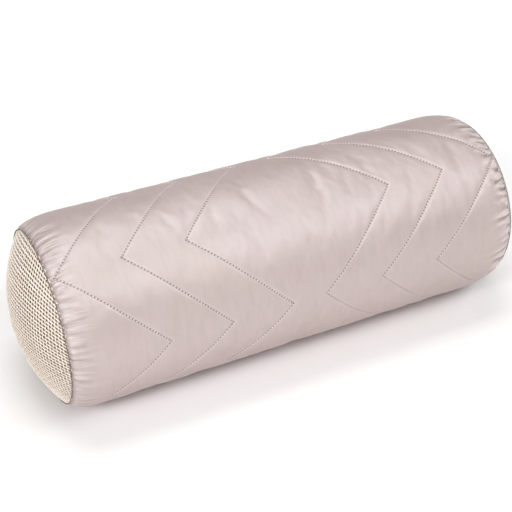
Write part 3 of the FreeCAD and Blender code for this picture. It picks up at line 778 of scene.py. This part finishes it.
def dome_points(a, b, lift):
    """Points on a stuffed end from flat cloth coordinates (a towards the back, b up), in the +X end's place.

    Past the seam the cloth turns in under the satin.
    """
    flat = np.hypot(a, b)
    polar = np.minimum(flat, RIM) / BALL
    past = np.maximum(flat - RIM, 0)
    ball = BALL - CORD_DEPTH + lift + 0.1 * MM * np.exp(-(((RIM - flat) / (5 * MM)) ** 2))
    x = HALF + DOME - BALL + ball * np.cos(polar) - past
    ca, cb = a / np.maximum(flat, 1e-9), b / np.maximum(flat, 1e-9)
    reach = ball * np.sin(polar) - 0.3 * past
    points = np.stack([x, ca * reach, AXIS + cb * reach], -1)
    return points, np.stack([np.cos(polar), np.sin(polar) * ca, np.sin(polar) * cb], -1)


def woven_end(word, side):
    """A round end of thick cords in an open plain weave, drawn slightly out of square by the sewing."""
    rng = np.random.default_rng(SEED + side)
    rim = RIM + TURNED_UNDER
    waves = [(*rng.uniform(20, 70, 2), *rng.uniform(0, 6.3, 2)) for _ in range(3)]

    def sewn(u, v):
        """Where a place on the square cloth ends up once it is sewn in."""
        b = v - 0.16 * u - 1.8 * u * u - 9.0 * v * u * u
        a = u + 0.10 * v + 2.0 * v * v
        for ka, kb, pa, pb in waves:
            a = a + WANDER * np.sin(ka * v + kb * u + pa)
            b = b + WANDER * np.sin(kb * v - ka * u + pb)
        return a, b

    flip = np.array([side, 1, 1])
    paths = []
    for is_warp, (pitch, wide, thick, height), other in ((False, WEFT, WARP[0]), (True, WARP, WEFT[0])):
        count = int(rim * 1.35 / pitch)
        reach = int(rim * 1.35 / (other / 4))
        t = np.arange(-reach, reach + 1) * (other / 4)
        for k in range(-count, count + 1):
            own = np.full(len(t), k * pitch + rng.normal(0, 0.08 * MM))
            wave = np.cos(math.pi * t / other) * (-1) ** k
            a, b = sewn(own, t) if is_warp else sewn(t, own)
            lift = height * wave - WARP_SINK * is_warp
            inside = np.flatnonzero(np.hypot(a, b) < rim)
            if len(inside) < 6:
                continue
            points, out = dome_points(a[inside], b[inside], lift[inside])
            widths = wide * (1 + rng.normal(0, 0.04, len(inside)))
            # how far the cord dives under the crossing cords, for painted shade there, with a random tone for
            # each cord
            buried = 0.5 + 0.5 * wave[inside] * (1 if is_warp else -1)
            paths.append((points * flip, out * flip, widths, thick, 0.7 * buried + 0.3 * rng.uniform()))
    made = strands(f"woven_end_{word}", paths, CORD)
    if side < 0:
        made.data.flip_normals()
    finish_piece(made, f"end_panel_{word}")


# ---- seams

def end_seam_stitches(word, side):
    """The seam's stitches, sunk in the join of satin and weave; their dark thread is partly painted shade in
    the join.
    """
    angle = np.linspace(-math.pi, math.pi, 500)
    points = place(side * (HALF + 0.4 * MM), angle, SEAM_RADIUS)
    paths = stitch_run(points, way_out(angle, 0.6 * side), 2.2 * MM, 0.42 * MM, gap=0.1)
    made = strands(f"end_seam_stitches_{word}", paths, SEAM_THREAD)
    finish_piece(made, f"end_seam_thread_{word}")


def back_point(x, up):
    """A point of the satin behind the pillow, from its place along it and above its axis, and the way out."""
    angle = math.pi - up / RADIUS
    cell, turns = x / CELL + LAST + 1, (angle - START_ANGLE) / TURN
    i, j = np.floor(cell).astype(int), np.floor(turns).astype(int)
    fi, fj = cell - i, turns - j
    r = sum(
        SURFACE[i + di, (j + dj) % AROUND] * (fi if di else 1 - fi) * (fj if dj else 1 - fj)
        for di in (0, 1)
        for dj in (0, 1)
    )
    return place(x, angle, r), way_out(angle)


def zip_topstitching():
    """One line of stitches all round the zip, through satin and tapes."""
    corners = [(-1, -1), (1, -1), (1, 1), (-1, 1), (-1, -1)]
    paths = []
    for (x0, up0), (x1, up1) in zip(corners, corners[1:]):
        t = np.linspace(0, 1, 400)
        line = back_point(TOPSTITCH_X * (x0 + (x1 - x0) * t), TOPSTITCH_UP * (up0 + (up1 - up0) * t))
        paths += stitch_run(*line, 2.8 * MM)
    made = strands("zip_topstitches", paths, TOP_THREAD)
    finish_piece(made, "zip_topstitching")


# ---- the zip

# a tape's section, in mm: out from the teeth, and above its middle, with a bead that carries the teeth
TAPE_SECTION = np.array(
    [(0.0, -0.3), (0.0, 0.3), (0.35, 0.62), (1.0, 0.66), (1.5, 0.34), (2.2, 0.3), (5.0, 0.3)]
    + [(8.0, 0.3), (10.3, 0.3), (11.0, 0.18), (11.0, -0.3), (5.0, -0.3)]
)
TOOTH_WIDTH, TOOTH_PITCH = 1.3 * MM, 2.0 * MM
# half a tooth's outline, in mm: across the tooth, and up from the middle of the zip
TOOTH_OUTLINE = np.array(
    [(0.3, 0.14), (0.52, 0.26), (0.6, 0.5), (0.56, 0.75), (0.38, 1.0), (0.36, 1.3), (0.62, 1.6), (0.65, 3.2)]
)


def zip_tape(word, side):
    """A woven tape with a beaded edge that carries the teeth, rippled a little by its sewing."""
    rng = np.random.default_rng(SEED + 20 + side)
    low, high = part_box(f"zip_tape_{word}")
    inner, outer = sorted((abs(low.z - AXIS), abs(high.z - AXIS)))
    x = np.linspace(low.x, high.x, 230)
    up, thick = TAPE_SECTION.T * MM
    ripple = 0.12 * MM * np.sin(x / (9 * MM) + rng.uniform(0, 6)) * np.sin(x / (31 * MM))
    y = (low.y + high.y) / 2 + thick[None] + ripple[:, None] * (up / outer)[None]
    z = AXIS + side * (inner + up)
    points = np.stack(np.broadcast_arrays(x[:, None], y, z[None]), -1).reshape(-1, 3)
    faces = rod_faces(*y.shape)
    if side > 0:
        faces = [face[::-1] for face in faces]
    made = new_mesh(f"zip_tape_{word}_woven", points, faces, TAPE, smooth_faces=False)
    finish_piece(made, f"zip_tape_{word}")


def zip_teeth(word, side):
    """A rack of moulded teeth, each one a foot on the tape, a neck and a rounded head."""
    low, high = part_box(f"zip_teeth_{word}")
    count = round((high.x - low.x - TOOTH_WIDTH) / TOOTH_PITCH) + 1
    half = TOOTH_OUTLINE * MM
    outline = np.concatenate([half, half[::-1] * (-1, 1)])
    inset = outline * (0.72, 1) + np.array([0, 0.16 * MM]) * np.sign(1.6 * MM - outline[:, 1:])
    rings = [(outline, low.y), (outline, high.y - 0.4 * MM), (inset, high.y)]
    verts, faces = [], []
    for k in range(count):
        x = low.x + TOOTH_WIDTH / 2 + k * TOOTH_PITCH
        index, _, quads = wrapped_grid(len(rings), len(outline), len(verts))
        for ring, y in rings:
            verts += [(x + across, y, AXIS + side * up) for across, up in ring]
        walls = quads[..., [3, 0, 1, 2]].reshape(-1, 4).tolist()
        tooth = [index[0].tolist(), index[-1][::-1].tolist(), *walls]
        faces += tooth if side < 0 else [face[::-1] for face in tooth]
    made = new_mesh(f"zip_teeth_{word}_rack", verts, faces, TEETH, smooth_faces=False)
    finish_piece(made, f"zip_teeth_{word}")


# ---- layers inside

def closed_shell(name, outer, inner, material, keep=None):
    """A closed solid between two grids of points that run along (first) and round (second).

    keep says which cells of the grid are there. Walls close every edge of what is kept.
    """
    count_x, around = outer.shape[:2]
    points = np.concatenate([outer.reshape(-1, 3), inner.reshape(-1, 3)])
    index, after, quads = wrapped_grid(count_x, around)
    lift = count_x * around
    keep = np.ones((count_x - 1, around), bool) if keep is None else keep
    skin = quads[keep]
    padded = np.zeros((count_x + 1, around), bool)
    padded[1:-1] = keep
    starts, stops = padded[1:] & ~padded[:-1], padded[:-1] & ~padded[1:]
    before = np.roll(keep, 1, 1)
    opens, shuts = keep & ~before, before & ~keep

    def wall(a, b):
        return np.stack([a, b, b + lift, a + lift], -1)

    walls = [wall(index, after)[starts], wall(after, index)[stops]]
    walls += [wall(index[1:], index[:-1])[opens], wall(index[:-1], index[1:])[shuts]]
    faces = np.concatenate([skin, skin[:, ::-1] + lift, *walls])
    return new_mesh(name, points, faces, material)


COVER_DEPTH = 4.4 * MM  # from the cover's face to the inside of its wadding
HEM_UP, HEM_X, HEM_EASE = 7.5 * MM, 173 * MM, 5 * MM  # where the wadding thins out round the zip


def cover_layers():
    """The wadding and its backing, drawn in under every line of quilting."""
    low = SURFACE.copy()
    for shift in ((1, 0), (-1, 0), (0, 1), (0, -1)):
        low = np.minimum(low, np.roll(SURFACE, shift, (0, 1)))
    rows = np.array([0, *range(1, len(XS), 2), len(XS) - 1])
    columns = np.arange(1, AROUND, 2)
    take = np.ix_(rows, columns)
    x, angle, top = GRID_X[take], GRID_A[take], low[take]
    in_slot = ((rows[:-1] >= SLOT_I[0]) & (rows[:-1] < SLOT_I[1]))[:, None]
    keep = ~(in_slot & (columns >= SLOT_J[0]) & (columns < SLOT_J[1]))
    full = ring_radius(x)
    hem = smooth((np.abs(np.abs(angle) - math.pi) * RADIUS - HEM_UP) / HEM_EASE)
    hem = np.maximum(hem, smooth((np.abs(x) - HEM_X) / HEM_EASE))
    rng = np.random.default_rng(SEED + 1)
    fluff = np.abs(rng.normal(0, 0.12 * MM, x.shape))
    outer = np.minimum(top - 0.45 * MM - fluff, full - 0.6 * MM)
    inner = np.minimum(full - COVER_DEPTH, outer - 0.35 * MM)
    outer -= (1 - hem) * np.minimum(1.9 * MM, 0.8 * (outer - inner))
    made = closed_shell("quilted_wadding", place(x, angle, outer), place(x, angle, inner), WADDING, keep)
    finish_piece(made, "cover_wadding")
    top, below = (place(x, angle, inner - depth) for depth in (0.06 * MM, 0.06 * MM + COTTON))
    made = closed_shell("quilt_backing", top, below, BACKING, keep)
    finish_piece(made, "cover_backing")


WRINKLE = 0.1 * MM


def round_end(name, node, side, thickness, material, seed):
    """A thin, slightly wrinkled domed layer in the place of its CAD node."""
    low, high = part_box(node)
    seam_r = (high.z - low.z) / 2
    seam_x, top_x = sorted((abs(low.x), abs(high.x)))
    height = top_x - seam_x
    ball = (seam_r**2 + height**2) / (2 * height)
    rng = np.random.default_rng(seed)
    polar = np.linspace(0.004, math.asin(seam_r / ball), 30)[:, None]
    angle = (np.arange(120) * FULL_TURN / 120)[None]
    wrinkle = sum(
        np.cos(k * angle + rng.uniform(0, 6.3)) * rng.normal(0, 1) * (polar / polar.max()) ** 3
        for k in (13, 19, 27, 34, 41)
    )
    skins = []
    for depth in (0.0, thickness):
        r = ball - depth + WRINKLE * wrinkle - 1.5 * WRINKLE
        x, flat = side * (top_x - ball + r * np.cos(polar)), r * np.sin(polar)
        skins.append(np.stack([x, -flat * np.cos(angle) * side, AXIS + flat * np.sin(angle)], -1))
    return closed_shell(name, skins[0][::-1], skins[1][::-1], material)


def insert_layers():
    """The inner pillow's cotton: a tube gathered at its ends, and two round ends."""
    rng = np.random.default_rng(SEED + 2)
    low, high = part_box("insert_tube")
    x, angle = np.meshgrid(np.linspace(low.x, high.x, 150), np.arange(200) * FULL_TURN / 200, indexing="ij")
    field = np.zeros(x.shape)
    for _ in range(60):
        side = rng.choice([-1, 1])
        run = rng.uniform(12, 50) * MM
        gap = (angle - rng.uniform(0, FULL_TURN) + math.pi) % FULL_TURN - math.pi
        fade = np.clip(1 - (high.x - side * x) / run, 0, 1) ** 1.3
        field -= rng.uniform(0.1, 0.5) * MM * fade * np.exp(-((gap * RADIUS / (2 * MM)) ** 2))
    outer = cut_behind(ring_radius(x * HALF / high.x) - (RADIUS + low.y) + field, angle, high.y)

    def points(radius):
        return round_points(x, angle, radius, low.z + (-low.y - radius) * 0.3)

    made = closed_shell("insert_tube_cotton", points(outer), points(outer - COTTON), TICKING)
    finish_piece(made, "insert_tube")
    for word, side in SIDES.items():
        name = f"insert_end_{word}"
        made = round_end(name + "_cotton", name, side, COTTON, TICKING, SEED + 5 + side)
        finish_piece(made, name)


def filling():
    """Hollow-fibre filling: tufts packed to the shape of the insert."""
    low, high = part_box("insert_filling")
    rng = np.random.default_rng(SEED + 3)
    t = np.linspace(-1, 1, 180)
    x = high.x * np.sin(t * math.pi / 2) * 0.5 + high.x * t * 0.5
    x, angle = np.meshgrid(x, np.arange(200) * FULL_TURN / 200, indexing="ij")
    seam = 214 * MM
    tube = ring_radius(np.minimum(np.abs(x), seam) * HALF / seam) - (RADIUS + low.y)
    dome = np.sqrt(np.clip(1 - ((np.abs(x) - seam) / (high.x - seam)) ** 2, 0.0005, 1))
    full = np.where(np.abs(x) > seam, tube * dome, tube)
    lumps = np.zeros(x.shape)
    for _ in range(26):
        kx, ka = rng.uniform(20, 190), rng.integers(1, 18)
        lengthways = np.cos(kx * x + rng.uniform(0, 6.3))
        lumps += lengthways * np.cos(ka * angle + rng.uniform(0, 6.3)) * rng.uniform(0.2, 1)
    lumps += rng.normal(0, 0.5, x.shape)
    radius = full * (1 - 0.012) - np.abs(lumps) * 0.35 * MM * dome
    radius = cut_behind(radius, angle, high.y, 0.2 * MM)
    index, _, quads = wrapped_grid(*x.shape)
    faces = [*quads.reshape(-1, 4).tolist(), index[0].tolist(), index[-1][::-1].tolist()]
    points = round_points(x, angle, radius, low.z + 0.3 * MM).reshape(-1, 3)
    finish_piece(new_mesh("fibre_filling", points, faces, FILLING), "insert_filling")


# ---- setting

# where each light stands, its two sizes and its power; all of them face the pillow
LIGHTS = {
    "key": ((-0.03, 0.33, 1.9), (1.2, 0.8), 15.7),
    "side": ((0.4, -0.85, 1.2), (1.6, 0.5), 10.5),
    "left": ((-1.25, -0.75, 1.0), (0.45, 0.45), 12.5),
}
LIGHT_COLOR = (0.95, 1.0, 1.0)
WHITE = (1.0, 1.0, 1.0, 1.0)
SKY_POWER = 0.3
FLOOR_GLOW, FLOOR_REACH = 0.75, 60.0
AZIMUTH, ELEVATION, LENS = math.radians(-25.93), math.radians(36.31), 81.67
LOOK_AT, DISTANCE = (-0.053 * HALF, 0, AXIS - 0.0037 * HALF), 4.964 * HALF


def pale_floor():
    """A pale floor that glows to white away from the pillow."""
    s = Shader("pale_floor", Roughness=0.9, Emission_Color=WHITE)
    where = s.place()
    tone = s.mix(s.noise(where, 3.0), (0.95, 0.91, 0.91, 1), (0.98, 0.94, 0.94, 1))
    away = s.node("ShaderNodeVectorMath", {0: where}, operation="LENGTH").outputs["Value"]
    material = s.finish(Base_Color=tone, Emission_Strength=s.ramp(away, 0.2, 1.2, 0.0, FLOOR_GLOW))
    corners = [(x * FLOOR_REACH, y * FLOOR_REACH, 0) for x, y in ((-1, -1), (1, -1), (1, 1), (-1, 1))]
    new_mesh("floor", corners, [(0, 1, 2, 3)], material)


def studio():
    """Soft light, and a camera at the viewing angle."""
    world = bpy.data.worlds.new("studio")
    world.use_nodes = True
    nodes, links = world.node_tree.nodes, world.node_tree.links
    sky = nodes["Background"].inputs
    sky["Color"].default_value = WHITE
    # the sky looks white, but lights the pillow only faintly
    seen = nodes.new("ShaderNodeMath")
    seen.operation = "MULTIPLY_ADD"
    seen.inputs[1].default_value = 1.0 - SKY_POWER
    seen.inputs[2].default_value = SKY_POWER
    links.new(nodes.new("ShaderNodeLightPath").outputs["Is Camera Ray"], seen.inputs[0])
    links.new(seen.outputs[0], sky["Strength"])
    bpy.context.scene.world = world

    for name, (at, size, power) in LIGHTS.items():
        light = bpy.data.lights.new(name, "AREA")
        light.shape = "RECTANGLE"
        light.size, light.size_y = size
        light.energy = power
        light.color = LIGHT_COLOR
        made = add_object(name, light)
        made.location = at
        made.rotation_euler = (Vector((0, 0, AXIS)) - Vector(at)).to_track_quat("-Z", "Y").to_euler()

    flat = math.cos(ELEVATION)
    back = Vector((math.sin(AZIMUTH) * flat, -math.cos(AZIMUTH) * flat, math.sin(ELEVATION)))
    lens = bpy.data.cameras.new("camera")
    lens.sensor_width = 36
    lens.lens = LENS
    camera = add_object("camera", lens)
    camera.location = Vector(LOOK_AT) + back * DISTANCE
    camera.rotation_euler = (-back).to_track_quat("-Z", "Y").to_euler()
    bpy.context.scene.camera = camera
    bpy.context.scene.view_settings.view_transform = "Standard"


# ---- the pillow

SATIN = satin_material()
CORD = cord_material()
QUILT_THREAD = thread_material("quilting_thread", rgb(246, 228, 224))
# the seam thread's dark taupe is partly its own colour and partly painted shade in the seam's join
SEAM_THREAD = thread_material("taupe_seam_thread", rgb(112, 94, 82))
TOP_THREAD = thread_material("blush_seam_thread", rgb(206, 182, 178))
LINING = plain_weave_material("taupe_lining", rgb(124, 99, 82), rgb(150, 124, 105), 0.7 * MM)
TICKING = plain_weave_material("white_ticking", rgb(226, 222, 214), rgb(242, 239, 232), 0.6 * MM)
BACKING = plain_weave_material("white_backing", rgb(222, 214, 208), rgb(238, 232, 226), 0.8 * MM)
TAPE = plain_weave_material("blush_tape", rgb(190, 160, 156), rgb(214, 188, 184), 0.5 * MM)
WADDING = fibre_material("polyester_wadding", rgb(228, 227, 224), rgb(247, 247, 245))
FILLING = fibre_material("hollow_fibre", rgb(224, 224, 223), rgb(250, 250, 249))
TEETH = plastic_material("blush_zip_plastic", rgb(204, 176, 171), rgb(219, 193, 188))
METAL = metal_material()

pale_floor()
studio()
SURFACE = cover_radius()
finish_piece(satin_tube(SURFACE), "cover_face_panel")
quilting_threads(SURFACE)
for word, side in SIDES.items():
    woven_end(word, side)
    node = f"end_lining_{word}"
    lining = round_end(node + "_cloth", node, side, 0.3 * MM, LINING, SEED + side)
    finish_piece(lining, node)
    end_seam_stitches(word, side)
zip_topstitching()
for word, side in (("upper", 1), ("lower", -1)):
    zip_tape(word, side)
    zip_teeth(word, side)
cover_layers()
insert_layers()
filling()
for node in ("zip_top_stops", "zip_bottom_stop", "zip_slider", "zip_pull_tab"):
    repaint(node, METAL)
